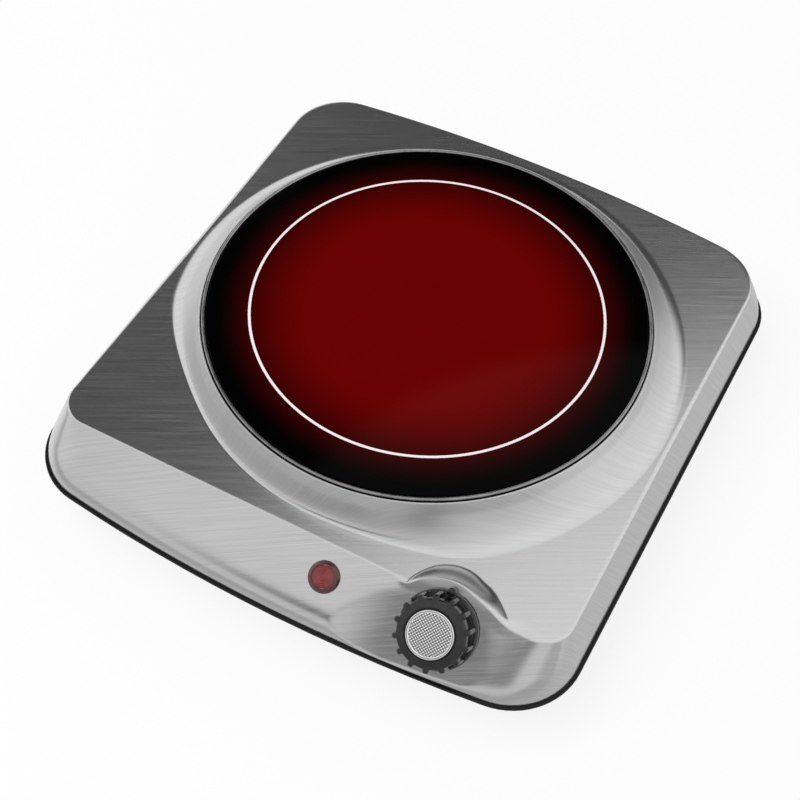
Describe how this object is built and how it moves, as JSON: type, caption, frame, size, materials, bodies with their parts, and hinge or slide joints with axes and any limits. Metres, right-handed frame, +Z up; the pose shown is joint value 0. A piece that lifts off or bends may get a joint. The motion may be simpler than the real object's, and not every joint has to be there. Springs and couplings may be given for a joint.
{
  "type": "hot plate burner",
  "caption": "Tabletop single hot plate: brushed steel cover on a black pan, round black glass cooking plate, turning control knob and pilot lamp on a sloped front.",
  "frame": {"origin": "on the table, under the middle of the pan: the middle of the object's box, at its lowest face", "axes": "+Z up out of the cooking plate; -Y towards the cook, the side with the knob and the lamp; +X to the cook's right, the side that the knob is on"},
  "size_m": [0.2358, 0.254, 0.0635],
  "materials": {
    "brushed_cover": "satin",
    "ceramic_glass": "gloss",
    "trim_metal": "satin",
    "seal_rubber": "matte",
    "pan_plastic": "satin",
    "foot_rubber": "matte",
    "lamp_black": "gloss",
    "lamp_red": "gloss",
    "clear_glass": "gloss",
    "plated_steel": "satin",
    "fibre_board": "matte",
    "heating_alloy": "matte",
    "white_ceramic": "satin",
    "brass_fittings": "satin",
    "contact_silver": "gloss",
    "block_nylon": "matte",
    "wire_brown": "satin",
    "wire_black": "satin",
    "wire_blue": "satin",
    "wire_green": "satin",
    "wire_white": "satin",
    "knob_black": "gloss",
    "cap_metal": "satin"
  },
  "bodies": {
    "housing": {"top_cover": "brushed_cover", "glass_plate": "ceramic_glass", "glass_trim_ring": "trim_metal", "base_pan": "pan_plastic", "rubber_feet": "foot_rubber", "lamp_bezel": "lamp_black", "lamp_lens": "lamp_red", "inlet_grommet": "foot_rubber", "glass_gasket": "seal_rubber", "heater_dish": "plated_steel", "insulation_base": "fibre_board", "insulation_ring": "fibre_board", "heater_ribbon": "heating_alloy", "limiter_rod": "clear_glass", "limiter_head": "white_ceramic", "limiter_tabs": "brass_fittings", "heater_bridge": "plated_steel", "heater_bolts": "plated_steel", "heater_nuts": "plated_steel", "thermostat_bracket": "plated_steel", "thermostat_bush": "brass_fittings", "bush_nut": "brass_fittings", "ceramic_spacers": "white_ceramic", "adjusting_blade": "brass_fittings", "contact_blade": "brass_fittings", "bimetal_strip": "heating_alloy", "stack_rivet": "plated_steel", "contact_buttons": "contact_silver", "neon_bulb": "clear_glass", "lamp_clip": "plated_steel", "terminal_block": "block_nylon", "terminal_clamps": "brass_fittings", "mounting_legs": "plated_steel", "live_wire": "wire_brown", "load_wire": "wire_black", "neutral_wire": "wire_blue", "earth_wire": "wire_green", "lamp_leads": "wire_white", "base_screws": "plated_steel", "bridge_screws": "plated_steel", "block_screw": "plated_steel"},
    "knob": {"knob_body": "knob_black", "knob_cap": "cap_metal", "knob_clip": "plated_steel", "spindle": "plated_steel", "spindle_retainer": "plated_steel"}
  },
  "joints": [
    {"name": "knob_turn", "type": "hinge", "parent": "housing", "child": "knob", "pos_m": [0.0662, -0.10818, 0.04011], "axis": [-0.0217, 0.648, -0.7614], "range_deg": [0, 270]}
  ]
}
